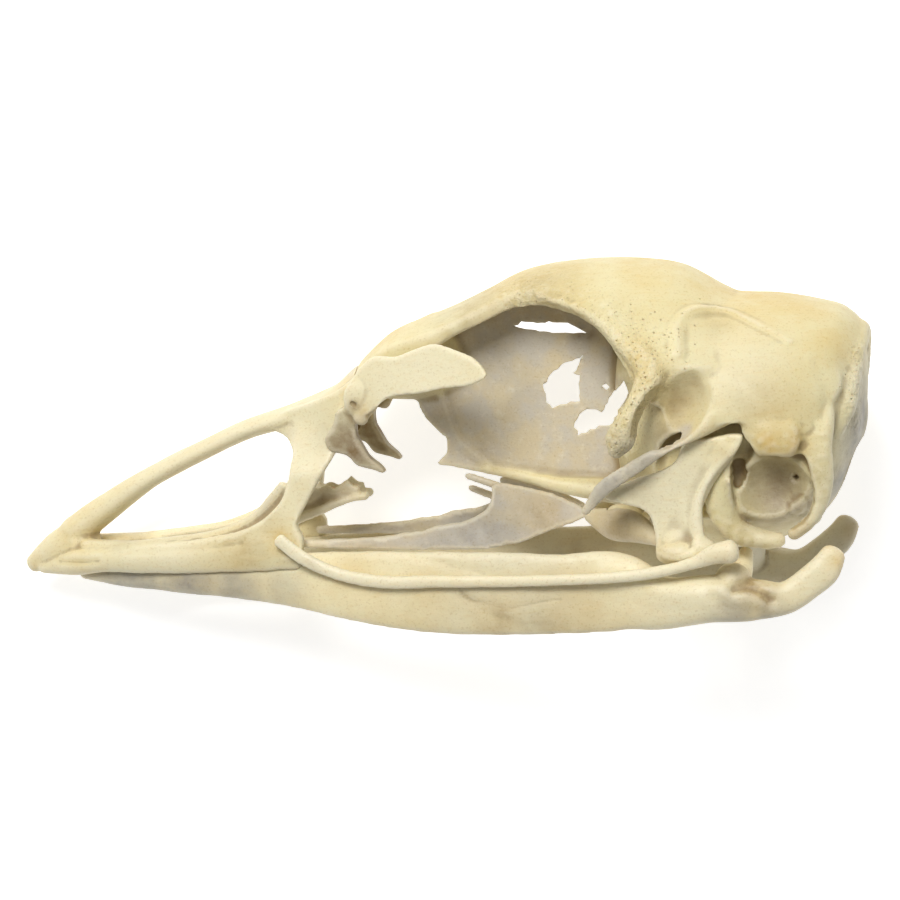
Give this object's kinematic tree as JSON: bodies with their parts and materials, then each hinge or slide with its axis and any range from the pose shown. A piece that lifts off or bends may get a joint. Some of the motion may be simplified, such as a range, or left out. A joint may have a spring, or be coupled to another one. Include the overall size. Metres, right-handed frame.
{
  "type": "turkey skull",
  "caption": "Dry turkey skull with its lower jaw, lying on its right side: deep braincase, large eye sockets with a thin wall between them, open nostrils and a short down-curved beak.",
  "frame": {"origin": "bottom centre of the box around the lying skull, on the surface that it rests on", "axes": "+X from the beak towards the back of the head, +Y up across the picture towards the crown, +Z up from the surface, out of the skull's left side"},
  "size_m": [0.1018, 0.045, 0.0378],
  "materials": {
    "skull_bone": "dry cream bone, dull, yellower on its edges",
    "beak_bone": "dry cream bone, smooth, yellower at the beak's tip",
    "jaw_bone": "dry pale bone, smooth and slightly waxy",
    "thin_bone": "thin grey-beige bone, dull"
  },
  "bodies": {
    "root": {"cranium": "skull_bone", "upper_beak": "beak_bone", "mandible": "jaw_bone", "lacrimal_left": "skull_bone", "lacrimal_right": "skull_bone", "quadrate_left": "skull_bone", "quadrate_right": "skull_bone", "jugal_bar_left": "jaw_bone", "jugal_bar_right": "jaw_bone", "palatine_left": "thin_bone", "palatine_right": "thin_bone", "pterygoid_left": "thin_bone", "pterygoid_right": "thin_bone", "vomer": "thin_bone"}
  },
  "joints": []
}
